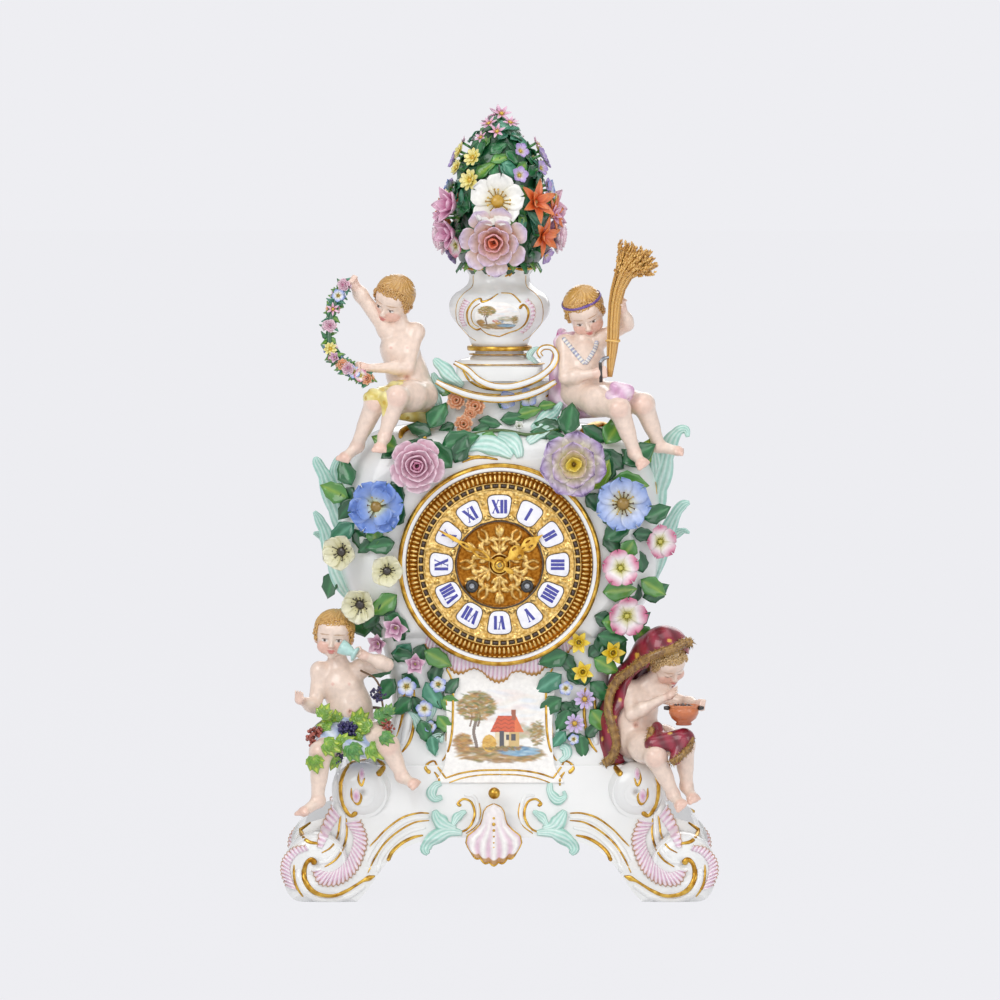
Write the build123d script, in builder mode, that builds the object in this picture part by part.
from build123d import *
from math import atan2, cos, degrees, hypot, pi, radians, sin, sqrt
import os

os.makedirs("parts", exist_ok=True)

# Figural mantel clock in porcelain with a round two-train movement.
# Millimetres, +Z up, front towards -Y, origin under the middle of the base.

# Base, the pedestal with four scrolled feet
base_half_width = 184.0
base_half_depth = 112.0
base_height = 113.0
base_wall = 7.0

# Waist and drum, one hollow casting
waist_half_width = 92.0
waist_half_depth = 59.0
waist_corner = 18.0
dial_height = 285.0
drum_half_width = 140.0
drum_rise = 120.0
drum_drop = 72.0
drum_front = 70.0
drum_back = 62.0
case_wall = 6.0
movement_bore = 60.0
back_bore = 58.0

# Neck, urn and bouquet
neck_height = 35.0
neck_half_width = 50.0
neck_half_depth = 36.0
urn_height = 97.0
urn_radius = 43.5
urn_wall = 4.0
bouquet_height = 133.0
bouquet_radius = 53.0
tie_rod_radius = 2.5
tie_nut_height = 5.0

# Dial
dial_radius = 79.0
dial_lip_width = 6.0
dial_lip_height = 7.0
dial_plate_thickness = 2.0
dial_relief = 2.6
dial_ring_inner = 70.0
cartouche_ring = 49.5
cartouche_size = 20.5
cartouche_height = 3.2
winding_hole = 5.2

# Movement
plate_radius = 50.0
plate_thickness = 2.5
plate_gap = 40.0
plate_setback = 10.0
winding_spread = 23.5
winding_drop = 18.5
pivot_radius = 0.8
arbor_radius = 1.1
pendulum_length = 143.0
bob_radius = 20.0
bell_radius = 37.0

# Figures: from the seat, a figure's places are shares of this length
putto_size = 150.0

# Clearances and helpers
running_clearance = 0.06
end_shake = 0.3
seat_gap = 0.3
overrun = 2.0
crumb_share = 0.01

# Heights worked out from the dimensions above
drum_foot = dial_height - drum_drop
drum_top = dial_height + drum_rise
waist_height = drum_foot - base_height
neck_top = drum_top + neck_height
urn_top = neck_top + urn_height
dial_face = -drum_front
plate_front_y = dial_face + plate_setback + plate_thickness
plate_back_y = plate_front_y + plate_gap
movement_back_y = plate_back_y + plate_thickness


# Small helpers

def facing(x, y, z):
    # A plane that looks to the front, with X to the right and Z up in it
    return Plane(origin=(x, y, z), x_dir=(1, 0, 0), z_dir=(0, -1, 0))


def disc(place, radius, thickness, bore=0.0, mode=Mode.ADD):
    with BuildSketch(place) as face:
        Circle(radius)
        if bore > 0:
            Circle(bore, mode=Mode.SUBTRACT)
    extrude(face.sketch, amount=thickness, mode=mode)


def trim(*others):
    # What other pieces already fill is cut away, so that faces meet
    for other in others:
        add(other.part, mode=Mode.SUBTRACT)


def bone(start, end, start_radius, end_radius, mode=Mode.ADD):
    span = Vector(*end) - Vector(*start)
    upright = (Align.CENTER, Align.CENTER, Align.MIN)
    with Locations(Plane(origin=start, z_dir=span).location):
        if abs(start_radius - end_radius) < running_clearance:
            Cylinder(start_radius, span.length, align=upright, mode=mode)
        else:
            Cone(start_radius, end_radius, span.length, align=upright, mode=mode)


def limb(origin, size, stations):
    # A chain of joints; each station is a place and a radius, as shares of size
    joint_swell_share = 1.03
    places = [tuple(o + s * size for o, s in zip(origin, station[:3])) for station in stations]
    radii = [station[3] * size for station in stations]
    for place, radius in zip(places, radii):
        with Locations(place):
            Sphere(radius * joint_swell_share)
    for k in range(len(places) - 1):
        bone(places[k], places[k + 1], radii[k], radii[k + 1])


def finish(piece, name):
    # Splinters that a cut left behind are dropped
    solids = piece.part.solids()
    largest = max(solid.volume for solid in solids)
    kept = [solid for solid in solids if solid.volume > crumb_share * largest]
    if len(kept) < len(solids):
        piece.part = Part(Compound(kept).wrapped)
    piece.part.label = name
    export_step(piece.part, f"parts/{name}.step")


# Base: three silhouettes crossed, hollow from below, with an arch on each side

base_front_shares = ((0.62, 1.0), (0.73, 0.97), (0.755, 0.85), (0.76, 0.7), (0.8, 0.62), (0.9, 0.56),
                     (0.95, 0.44), (0.985, 0.3), (1.0, 0.18), (0.975, 0.06), (0.9, 0.0))
base_side_shares = ((0.6, 1.0), (0.64, 0.75), (0.72, 0.5), (0.86, 0.3), (1.0, 0.14), (0.97, 0.05), (0.93, 0.0))
base_plan_shares = ((0.0, 0.8), (0.36, 0.82), (0.62, 0.92), (0.82, 1.0), (0.96, 0.94), (1.0, 0.74),
                    (0.94, 0.4), (0.9, 0.0))
front_arch_shares = ((0.66, 0.0), (0.59, 0.13), (0.53, 0.27), (0.45, 0.38), (0.35, 0.44), (0.0, 0.46))
side_arch_shares = ((0.62, 0.0), (0.54, 0.14), (0.4, 0.27), (0.0, 0.31))


def mirrored_outline(shares, across, up):
    # A closed outline: a spline on the right, its mirror image on the left, straight top and foot
    right = [(x * across, z * up) for x, z in shares]
    left = [(-x, z) for x, z in right]
    with BuildLine() as outline:
        Spline(*right)
        Line(right[-1], left[-1])
        Spline(*reversed(left))
        Line(left[0], right[0])
    return make_face(outline.edges())


def arch_outline(shares, across, up):
    right = [(x * across, z * up) for x, z in shares]
    left = [(-x, z) for x, z in reversed(right[:-1])]
    with BuildLine() as outline:
        Spline(*right, *left)
        Line(left[-1], right[0])
    return make_face(outline.edges())


def base_form(half_width, half_depth, height):
    with BuildSketch(Plane.XZ) as front:
        mirrored_outline(base_front_shares, half_width, height)
    extrude(front.sketch, amount=half_depth + overrun, both=True)
    with BuildSketch(Plane.YZ) as side:
        mirrored_outline(base_side_shares, half_depth, height)
    extrude(side.sketch, amount=half_width + overrun, both=True, mode=Mode.INTERSECT)
    quarter = [(x * half_width, y * half_depth) for x, y in base_plan_shares]
    with BuildSketch(Plane.XY) as plan:
        with BuildLine():
            Spline(*quarter, *[(x, -y) for x, y in reversed(quarter[:-1])])
            Spline(*[(-x, -y) for x, y in quarter], *[(-x, y) for x, y in reversed(quarter[:-1])])
        make_face()
    extrude(plan.sketch, amount=height, mode=Mode.INTERSECT)


foot_scroll_radius = 25.0
seat_scroll_radius = 21.0
scroll_relief = 4.0
foot_scroll_shares = (0.845, 0.28)
seat_scroll_shares = (0.635, 0.79)
foot_scroll_reach_share = 0.93
seat_scroll_reach_share = 0.68

with BuildPart() as base_solid:
    base_form(base_half_width, base_half_depth, base_height)
    for side in (-1, 1):
        for face in (-1, 1):
            for shares, radius, reach_share in (
                    (foot_scroll_shares, foot_scroll_radius, foot_scroll_reach_share),
                    (seat_scroll_shares, seat_scroll_radius, seat_scroll_reach_share)):
                reach = base_half_depth * reach_share
                place = facing(side * shares[0] * base_half_width, 0, shares[1] * base_height)
                with BuildSketch(place.offset(face * reach)):
                    Circle(radius)
                extrude(amount=-face * reach / 2)
                with BuildSketch(place.offset(face * reach)):
                    Circle(radius / 2)
                extrude(amount=face * scroll_relief)

with BuildPart() as base_cavity:
    base_form(base_half_width - base_wall, base_half_depth - base_wall, base_height - base_wall)

with BuildPart() as base_body:
    add(base_solid.part)
    trim(base_cavity)
    with BuildSketch(Plane.XZ):
        arch_outline(front_arch_shares, base_half_width, base_height)
    extrude(amount=base_half_depth + foot_scroll_radius, both=True, mode=Mode.SUBTRACT)
    with BuildSketch(Plane.YZ):
        arch_outline(side_arch_shares, base_half_depth, base_height)
    extrude(amount=base_half_width + foot_scroll_radius, both=True, mode=Mode.SUBTRACT)
finish(base_body, "base_body")


# Case: a waist lofted upwards and a drum lofted from front to back

drum_side_shares = ((0.42, 0.99), (0.68, 0.95), (0.85, 0.86), (0.95, 0.68), (1.0, 0.38), (1.0, 0.06),
                    (0.97, -0.22), (0.9, -0.5), (0.79, -0.78), (0.66, -1.0))
drum_section_shares = ((-1.0, 0.75), (-0.94, 0.84), (-0.78, 0.92), (-0.45, 0.98), (0.0, 1.0),
                       (0.5, 0.98), (0.86, 0.91), (1.0, 0.8))
waist_section_shares = ((0.0, 1.22, 1.1), (0.18, 1.07, 1.04), (0.5, 1.0, 1.0), (0.85, 1.05, 1.01),
                        (1.25, 1.12, 1.02))


def drum_point(x_share, z_share, half_width, rise, drop):
    return x_share * half_width, z_share * (rise if z_share > 0 else drop)


def drum_form(inset):
    half_width, rise, drop = drum_half_width - inset, drum_rise - inset, drum_drop - inset
    sections = []
    for y_share, scale in drum_section_shares:
        depth = (drum_front if y_share < 0 else drum_back) - inset
        points = [drum_point(x * scale, z * scale, half_width, rise, drop) for x, z in drum_side_shares]
        mirrored = [(-x, z) for x, z in points]
        with BuildSketch(facing(0, y_share * depth, dial_height)) as section:
            with BuildLine():
                Spline(*points)
                Line(points[-1], mirrored[-1])
                Spline(*reversed(mirrored))
                Line(mirrored[0], points[0])
            make_face()
        sections.append(section.sketch)
    loft(sections)


def waist_form(inset, foot):
    sections = []
    for t_share, width_share, depth_share in waist_section_shares:
        height = base_height + t_share * waist_height
        if t_share == 0:
            height -= foot
        with BuildSketch(Plane.XY.offset(height)) as section:
            RectangleRounded(2 * (waist_half_width * width_share - inset),
                             2 * (waist_half_depth * depth_share - inset), waist_corner - inset)
        sections.append(section.sketch)
    loft(sections)


def drum_reach(x, z):
    # How far out a place lies on the drum's face, as a share of the outline in its direction
    up = z - dial_height
    radius = hypot(x, up)
    if radius == 0:
        return 0.0
    outline = [drum_point(a, b, drum_half_width, drum_rise, drum_drop) for a, b in drum_side_shares]
    outline = [(0, drum_rise)] + outline + [(0, -drum_drop)]
    dx, dz = abs(x) / radius, up / radius
    best = 0.0
    for (ax, az), (bx, bz) in zip(outline, outline[1:]):
        cross = dx * (bz - az) - dz * (bx - ax)
        if cross == 0:
            continue
        t = (az * dx - ax * dz) / -cross
        reach = (ax * (bz - az) - az * (bx - ax)) / cross
        if 0 <= t <= 1 and reach > 0:
            best = max(best, reach)
    return radius / best if best > 0 else 1.0


def drum_skin(x, z):
    # Y of the drum's front face behind a place in the front view
    share = drum_reach(x, z)
    sections = [s for s in drum_section_shares if s[0] <= 0]
    for (ya, sa), (yb, sb) in zip(sections, sections[1:]):
        if share <= sa:
            return ya * drum_front
        if share <= sb:
            return (ya + (yb - ya) * (share - sa) / (sb - sa)) * drum_front
    return 0.0


def case_skin(x, z):
    # Y of the case's front: the drum, or the waist below it
    if z > drum_foot:
        return min(drum_skin(x, z), -waist_half_depth if z < dial_height - drum_drop / 2 else 0.0)
    return -waist_half_depth


with BuildPart() as drum_solid:
    drum_form(0.0)

with BuildPart() as waist_solid:
    waist_form(0.0, 0.0)

with BuildPart() as case_cavity:
    drum_form(case_wall)

with BuildPart() as waist_cavity:
    waist_form(case_wall, overrun)

lip_ring_radius = dial_radius + dial_lip_width
tie_bore = tie_rod_radius + seat_gap

with BuildPart() as case_solid:
    add(drum_solid.part)
    add(waist_solid.part)
    disc(facing(0, dial_face + drum_front / 2, dial_height), lip_ring_radius, drum_front / 2 + dial_lip_height)
    disc(facing(0, dial_face, dial_height), dial_radius + seat_gap, dial_lip_height + overrun,
         mode=Mode.SUBTRACT)
    lip_edges = edges().filter_by(GeomType.CIRCLE).group_by(Axis.Y)[0]
    fillet(lip_edges, radius=dial_lip_width / 3)

with BuildPart() as case_body:
    add(case_solid.part)
    trim(case_cavity, waist_cavity)
    disc(facing(0, 0, dial_height), movement_bore, drum_front + overrun, mode=Mode.SUBTRACT)
    disc(facing(0, drum_back + overrun, dial_height), back_bore, drum_back, mode=Mode.SUBTRACT)
    with BuildSketch(Plane.XY.offset(dial_height)):
        Circle(tie_bore)
    extrude(amount=drum_rise + overrun, mode=Mode.SUBTRACT)
finish(case_body, "case_body")


# Neck, on top of the drum, with the urn's seat

neck_section_shares = ((-0.7, 1.3), (0.0, 1.14), (0.3, 0.96), (0.7, 0.88), (1.0, 0.98))
neck_corner = 16.0

with BuildPart() as crest_body:
    for t_share, scale in neck_section_shares:
        with BuildSketch(Plane.XY.offset(drum_top + t_share * neck_height)):
            RectangleRounded(2 * neck_half_width * scale, 2 * neck_half_depth * scale, neck_corner)
    loft()
    trim(case_solid)
    with BuildSketch(Plane.XY.offset(drum_top - neck_height)):
        Circle(tie_bore)
    extrude(amount=2 * neck_height + overrun, mode=Mode.SUBTRACT)
finish(crest_body, "crest_body")


# Urn: a square plinth and a turned vase, hollow from the mouth

urn_plinth_half = 37.0
urn_plinth_height = 12.0
urn_plinth_corner = 6.0
urn_profile_shares = ((0.86, 0.0), (0.82, 0.05), (0.52, 0.11), (0.48, 0.16), (0.54, 0.2), (0.62, 0.3),
                      (0.9, 0.46), (1.0, 0.6), (0.9, 0.72), (0.62, 0.84), (0.6, 0.9), (0.73, 1.0))
urn_floor_share = 0.3
urn_bowl_height = urn_height - urn_plinth_height
urn_bowl_foot = neck_top + urn_plinth_height

with BuildPart() as urn_vase:
    with BuildSketch(Plane.XY.offset(neck_top)):
        RectangleRounded(2 * urn_plinth_half, 2 * urn_plinth_half, urn_plinth_corner)
    extrude(amount=urn_plinth_height)
    outer = [(r * urn_radius, urn_bowl_foot + h * urn_bowl_height) for r, h in urn_profile_shares]
    with BuildSketch(Plane.XZ):
        with BuildLine():
            Spline(*outer)
            Polyline(outer[-1], (0, urn_top), (0, urn_bowl_foot), outer[0])
        make_face()
    revolve(axis=Axis.Z)
    inner = [(r * urn_radius - urn_wall, urn_bowl_foot + h * urn_bowl_height)
             for r, h in urn_profile_shares if h >= urn_floor_share]
    with BuildSketch(Plane.XZ):
        with BuildLine():
            Spline(*inner)
            Polyline(inner[-1], (inner[-1][0], urn_top + overrun), (0, urn_top + overrun), (0, inner[0][1]), inner[0])
        make_face()
    revolve(axis=Axis.Z, mode=Mode.SUBTRACT)
    with BuildSketch(Plane.XY.offset(neck_top)):
        Circle(tie_bore)
    extrude(amount=urn_height / 2, mode=Mode.SUBTRACT)
finish(urn_vase, "urn_vase")

drum_roof = dial_height + drum_side_shares[0][1] * (drum_rise - case_wall)
tie_rod_foot = drum_roof - 2 * tie_nut_height
tie_rod_head = inner[0][1] + 2 * tie_nut_height
tie_nut_radius = 6.0
nut_flats = 6

with BuildPart() as urn_tie_rod:
    with BuildSketch(Plane.XY.offset(tie_rod_foot)):
        Circle(tie_rod_radius)
    extrude(amount=tie_rod_head - tie_rod_foot)
    for foot in (drum_roof - seat_gap - tie_nut_height, inner[0][1]):
        with BuildSketch(Plane.XY.offset(foot)):
            RegularPolygon(tie_nut_radius, nut_flats)
        extrude(amount=tie_nut_height)
finish(urn_tie_rod, "urn_tie_rod")


# Flowers and leaves, built out from a place on a surface

petal_ring_share = 0.6
petal_size_share = 0.4
petal_core_share = 0.62
layer_shrink_share = 0.27
layer_rise_share = 0.55
stem_share = 0.32


def bloom(seat, aim, radius, petals, layers, depth, stem):
    # Rings of round petals, each ring smaller and further out, on a stem that runs back into the seat
    place = Plane(origin=seat, z_dir=aim)
    for layer in range(layers):
        reach = radius * (1 - layer_shrink_share * layer)
        with BuildSketch(place.offset(depth * layer_rise_share * layer)) as ring:
            Circle(reach * petal_core_share)
            with PolarLocations(reach * petal_ring_share, petals, start_angle=layer * 180 / petals):
                Circle(reach * petal_size_share)
        extrude(ring.sketch, amount=depth)
    disc(place, radius * stem_share, -stem)


def leaf(seat, turn, length, width, height, depth):
    # An oval that lies in the front view, from in front of its seat back into the surface
    place = Plane(origin=seat, x_dir=(cos(radians(turn)), 0, sin(radians(turn))), z_dir=(0, -1, 0))
    with BuildSketch(place.offset(height)) as blade:
        with Locations((length / 2, 0)):
            Ellipse(length / 2, width / 2)
    extrude(blade.sketch, amount=-height - depth)


# Figures. Places are shares of the figure's size, from its seat: right, back and up

# The upper seats are shares of the drum's half width, front and rise, the lower ones of the base
spring_seat_shares = (-0.516, -0.4, 1.19)
summer_seat_shares = (0.489, -0.4, 1.22)
autumn_seat_shares = (-0.677, -0.5, 1.27)
winter_seat_shares = (0.63, -0.5, 1.21)


def drum_seat(shares):
    return shares[0] * drum_half_width, shares[1] * drum_front, dial_height + shares[2] * drum_rise


def base_seat(shares):
    return shares[0] * base_half_width, shares[1] * base_half_depth, shares[2] * base_height


spring_seat = drum_seat(spring_seat_shares)
summer_seat = drum_seat(summer_seat_shares)
autumn_seat = base_seat(autumn_seat_shares)
winter_seat = base_seat(winter_seat_shares)

spring_shares = {
    "trunk": ((0.0, 0.02, 0.0, 0.135), (-0.05, 0.0, 0.13, 0.125), (-0.09, 0.0, 0.27, 0.12), (-0.08, 0.0, 0.37, 0.08)),
    "head": ((-0.08, 0.0, 0.37, 0.06), (-0.1, -0.02, 0.46, 0.078), (-0.12, -0.03, 0.55, 0.128)),
    "raised_arm": ((-0.18, -0.02, 0.38, 0.055), (-0.3, -0.06, 0.56, 0.048), (-0.35, -0.1, 0.64, 0.04)),
    "low_arm": ((0.0, -0.02, 0.36, 0.055), (-0.04, -0.13, 0.16, 0.045), (-0.31, -0.2, 0.16, 0.035)),
    "near_leg": ((0.0, -0.02, 0.0, 0.102), (-0.22, -0.28, -0.03, 0.074), (-0.33, -0.22, -0.28, 0.048),
                 (-0.41, -0.26, -0.36, 0.036)),
    "far_leg": ((0.04, -0.06, 0.0, 0.102), (-0.1, -0.34, 0.0, 0.074), (-0.17, -0.34, -0.22, 0.048),
                (-0.2, -0.42, -0.3, 0.036)),
}
summer_shares = {
    "trunk": ((0.0, 0.02, 0.0, 0.135), (0.01, 0.0, 0.1, 0.125), (0.03, 0.0, 0.2, 0.12), (0.03, 0.0, 0.29, 0.08)),
    "head": ((0.03, 0.0, 0.3, 0.06), (0.03, -0.02, 0.38, 0.078), (0.03, -0.03, 0.46, 0.132)),
    "raised_arm": ((0.12, -0.02, 0.31, 0.055), (0.26, -0.06, 0.39, 0.048), (0.24, -0.12, 0.5, 0.04)),
    "low_arm": ((-0.07, -0.02, 0.28, 0.055), (-0.08, -0.12, 0.08, 0.045), (0.12, -0.18, 0.11, 0.035)),
    "near_leg": ((0.0, -0.04, -0.02, 0.102), (0.22, -0.32, -0.09, 0.074), (0.31, -0.3, -0.34, 0.048),
                 (0.36, -0.38, -0.41, 0.036)),
    "far_leg": ((0.06, 0.0, -0.01, 0.102), (0.36, -0.22, -0.07, 0.074), (0.45, -0.18, -0.3, 0.048),
                (0.58, -0.22, -0.34, 0.036)),
}
autumn_shares = {
    "trunk": ((0.0, 0.0, 0.0, 0.14), (-0.02, 0.0, 0.13, 0.13), (-0.07, 0.0, 0.26, 0.125), (-0.09, 0.0, 0.35, 0.085)),
    "head": ((-0.09, 0.0, 0.36, 0.06), (-0.1, -0.01, 0.44, 0.078), (-0.11, -0.02, 0.54, 0.135)),
    "raised_arm": ((0.03, -0.02, 0.345, 0.062), (0.19, -0.13, 0.375, 0.05), (0.035, -0.21, 0.435, 0.039)),
    "low_arm": ((-0.2, -0.02, 0.33, 0.06), (-0.22, -0.06, 0.13, 0.05), (-0.31, -0.16, 0.18, 0.036)),
    "near_leg": ((-0.04, -0.04, -0.02, 0.105), (-0.18, -0.3, -0.11, 0.08), (-0.2, -0.3, -0.38, 0.05),
                 (-0.29, -0.38, -0.45, 0.038)),
    "far_leg": ((0.05, -0.06, -0.01, 0.105), (0.2, -0.3, -0.07, 0.08), (0.28, -0.3, -0.24, 0.05),
                (0.36, -0.38, -0.29, 0.038)),
}
winter_shares = {
    "trunk": ((0.0, 0.0, 0.0, 0.14), (0.0, 0.0, 0.1, 0.13), (0.02, -0.01, 0.2, 0.125), (0.05, -0.02, 0.3, 0.085)),
    "head": ((0.07, -0.03, 0.3, 0.06), (0.12, -0.06, 0.37, 0.078), (0.18, -0.08, 0.44, 0.125)),
    "near_arm": ((-0.02, -0.04, 0.28, 0.06), (-0.02, -0.16, 0.14, 0.05), (0.2, -0.26, 0.26, 0.036)),
    "far_arm": ((0.12, -0.04, 0.26, 0.055), (0.28, -0.12, 0.2, 0.048), (0.37, -0.24, 0.2, 0.036)),
    "near_leg": ((0.0, -0.06, -0.01, 0.105), (0.11, -0.32, -0.09, 0.08), (0.21, -0.28, -0.3, 0.05),
                 (0.26, -0.36, -0.37, 0.038)),
    "far_leg": ((0.08, -0.02, 0.0, 0.105), (0.27, -0.24, -0.03, 0.078), (0.29, -0.22, -0.26, 0.049),
                (0.33, -0.3, -0.34, 0.038)),
}


def figure(seat, shares):
    for stations in shares.values():
        limb(seat, putto_size, stations)


with BuildPart() as spring_figure:
    figure(spring_seat, spring_shares)
    trim(case_solid, crest_body)
finish(spring_figure, "spring_figure")

with BuildPart() as summer_figure:
    figure(summer_seat, summer_shares)
    trim(case_solid, crest_body)
finish(summer_figure, "summer_figure")

with BuildPart() as autumn_figure:
    figure(autumn_seat, autumn_shares)
    trim(case_solid, base_solid)
finish(autumn_figure, "autumn_figure")

with BuildPart() as winter_figure:
    figure(winter_seat, winter_shares)
    trim(case_solid, base_solid)
finish(winter_figure, "winter_figure")


# What the figures wear and hold

spring_drape_shares = ((0.03, 0.0, -0.01, 0.155), (-0.06, -0.16, -0.01, 0.115), (-0.15, -0.24, -0.02, 0.085))
summer_drape_shares = ((-0.02, 0.02, 0.0, 0.16), (0.06, -0.12, -0.04, 0.13), (0.18, -0.25, -0.07, 0.095))
autumn_drape_shares = ((-0.03, 0.04, -0.03, 0.155), (0.08, -0.08, -0.05, 0.12), (0.16, -0.22, -0.07, 0.095))
cloak_hood_shares = ((0.13, 0.02, 0.5, 0.15), (0.08, 0.05, 0.34, 0.155), (-0.03, 0.04, 0.18, 0.165),
                     (-0.06, 0.03, 0.02, 0.165), (-0.05, 0.0, -0.08, 0.13))
cloak_lap_shares = ((0.0, -0.06, 0.0, 0.125), (0.12, -0.28, -0.02, 0.09), (0.2, -0.28, -0.12, 0.07))
flower_rope_shares = ((-0.39, -0.12, 0.67, 0.03), (-0.45, -0.14, 0.52, 0.045), (-0.48, -0.16, 0.38, 0.05),
                      (-0.47, -0.18, 0.25, 0.05), (-0.4, -0.2, 0.17, 0.048), (-0.28, -0.21, 0.12, 0.04))
sheaf_shares = ((0.2, -0.16, 0.02, 0.03), (0.22, -0.16, 0.3, 0.035), (0.22, -0.15, 0.58, 0.045),
                (0.31, -0.14, 0.73, 0.075), (0.42, -0.13, 0.8, 0.05))
grape_shares = ((0.13, -0.14, 0.15, 0.03), (0.15, -0.15, 0.22, 0.046), (0.17, -0.13, 0.29, 0.037),
                (0.18, -0.13, 0.35, 0.03))

with BuildPart() as spring_drape:
    limb(spring_seat, putto_size, spring_drape_shares)
    trim(spring_figure, case_solid, crest_body)
finish(spring_drape, "spring_drape")

with BuildPart() as spring_garland:
    limb(spring_seat, putto_size, flower_rope_shares)
    trim(spring_figure, spring_drape, case_solid)
finish(spring_garland, "spring_garland")

with BuildPart() as summer_drape:
    limb(summer_seat, putto_size, summer_drape_shares)
    trim(summer_figure, case_solid, crest_body)
finish(summer_drape, "summer_drape")

with BuildPart() as wheat_sheaf:
    limb(summer_seat, putto_size, sheaf_shares)
    trim(summer_figure, summer_drape)
finish(wheat_sheaf, "wheat_sheaf")

sickle_grip_shares = ((0.13, -0.19, 0.0), (0.125, -0.19, 0.13))
sickle_blade_shares = ((0.125, -0.19, 0.13), (0.04, -0.2, 0.22), (0.1, -0.2, 0.32))
sickle_thickness = 2.4


def figure_place(seat, share):
    return tuple(o + s * putto_size for o, s in zip(seat, share))


with BuildPart() as sickle:
    grip = [figure_place(summer_seat, share) for share in sickle_grip_shares]
    bone(grip[0], grip[1], sickle_thickness, sickle_thickness / 2)
    with BuildLine() as blade_path:
        ThreePointArc(*[figure_place(summer_seat, share) for share in sickle_blade_shares])
    with BuildSketch(Plane(origin=blade_path.line @ 0, z_dir=blade_path.line % 0)) as blade_section:
        Circle(sickle_thickness / 2)
    sweep(blade_section.sketch, path=blade_path.line)
    trim(summer_figure, summer_drape, wheat_sheaf)
finish(sickle, "sickle")

wreath_reach_share = 0.17
wreath_tube_share = 0.05
wreath_tilt = (0, -0.4, 1)

with BuildPart() as vine_wreath:
    with Locations(Plane(origin=autumn_seat, z_dir=wreath_tilt).location):
        Torus(wreath_reach_share * putto_size, wreath_tube_share * putto_size)
    limb(autumn_seat, putto_size, grape_shares)
    trim(autumn_figure, case_solid, base_solid)
finish(vine_wreath, "vine_wreath")

with BuildPart() as autumn_drape:
    limb(autumn_seat, putto_size, autumn_drape_shares)
    trim(autumn_figure, vine_wreath, case_solid, base_solid)
finish(autumn_drape, "autumn_drape")

cup_foot_shares = (0.01, -0.24, 0.45)
cup_mouth_shares = (-0.08, -0.24, 0.49)
cup_foot_radius = 4.6
cup_mouth_radius = 6.6
cup_wall = 1.5

with BuildPart() as drinking_cup:
    foot = figure_place(autumn_seat, cup_foot_shares)
    mouth = figure_place(autumn_seat, cup_mouth_shares)
    bone(foot, mouth, cup_foot_radius, cup_mouth_radius)
    inner_foot = tuple(f + (m - f) / cup_foot_radius for f, m in zip(foot, mouth))
    bone(inner_foot, mouth, cup_foot_radius - cup_wall, cup_mouth_radius - cup_wall, mode=Mode.SUBTRACT)
    trim(autumn_figure)
finish(drinking_cup, "drinking_cup")

with BuildPart() as winter_cloak:
    limb(winter_seat, putto_size, cloak_hood_shares)
    limb(winter_seat, putto_size, cloak_lap_shares)
    trim(winter_figure, case_solid, base_solid)
finish(winter_cloak, "winter_cloak")

brazier_place_shares = (0.27, -0.29, 0.09)
brazier_radius = 13.0
brazier_height = 17.0
brazier_wall = 2.0
brazier_profile_shares = ((0.55, 0.0), (0.5, 0.12), (0.82, 0.35), (1.0, 0.7), (0.9, 1.0))

with BuildPart() as brazier_pot:
    pot = figure_place(winter_seat, brazier_place_shares)
    outer = [(r * brazier_radius, h * brazier_height) for r, h in brazier_profile_shares]
    inner_pot = [(r - brazier_wall, h + brazier_wall) for r, h in outer[1:]]
    with BuildSketch(Plane(origin=pot, x_dir=(1, 0, 0), z_dir=(0, -1, 0))):
        with BuildLine():
            Spline(*outer)
            Line(outer[-1], inner_pot[-1])
            Spline(*reversed(inner_pot))
            Polyline(inner_pot[0], (0, inner_pot[0][1]), (0, 0), outer[0])
        make_face()
    revolve(axis=Axis(pot, (0, 0, 1)))
    trim(winter_figure, winter_cloak)
finish(brazier_pot, "brazier_pot")


# Garlands. Places are shares of the drum's half width and rise, from the dial's centre

flower_size = 25.0
petal_depth = 7.0
leaf_length = 40.0
leaf_width = 20.0
leaf_height = 4.0
flower_stem = 26.0

left_flower_shares = ((-0.5, 0.71, 1.04, 5, 3), (-0.74, 0.41, 0.98, 6, 1), (-0.9, 0.09, 0.74, 5, 1),
                      (-0.69, -0.04, 0.74, 5, 1), (-0.79, -0.25, 0.8, 5, 1), (-0.61, -0.41, 0.5, 5, 1),
                      (-0.69, -0.56, 0.48, 5, 1), (-0.51, -0.71, 0.5, 5, 1), (-0.56, -0.87, 0.28, 5, 1),
                      (-0.37, -0.86, 0.28, 5, 1), (-0.46, -1.03, 0.28, 5, 1), (-0.42, -1.16, 0.22, 5, 1))
right_flower_shares = ((0.45, 0.72, 1.2, 6, 2), (0.74, 0.43, 0.98, 7, 1), (0.91, 0.16, 0.68, 5, 1),
                       (0.74, -0.02, 0.7, 5, 1), (0.73, -0.32, 0.78, 5, 1), (0.48, -0.56, 0.44, 6, 1),
                       (0.65, -0.63, 0.44, 6, 1), (0.51, -0.77, 0.44, 6, 1), (0.52, -0.96, 0.34, 8, 1),
                       (0.46, -1.14, 0.34, 8, 1))
leaf_shares = ((-0.42, 0.84, 60, 0.8), (-0.34, 0.8, 5, 0.8), (-0.62, 0.55, 130, 0.9), (-0.85, 0.35, 190, 0.6),
               (-0.8, 0.2, 150, 0.8), (-0.75, 0.0, 200, 0.8), (-0.68, -0.12, -60, 0.8), (-0.7, -0.4, 230, 0.8),
               (-0.6, -0.52, -60, 0.7), (-0.58, -0.75, 250, 0.7), (-0.47, -0.8, -70, 0.7), (-0.48, -1.0, -110, 0.7))


def case_place(x_share, z_share):
    x = x_share * drum_half_width
    z = dial_height + z_share * drum_rise
    return x, case_skin(x, z), z


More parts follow.
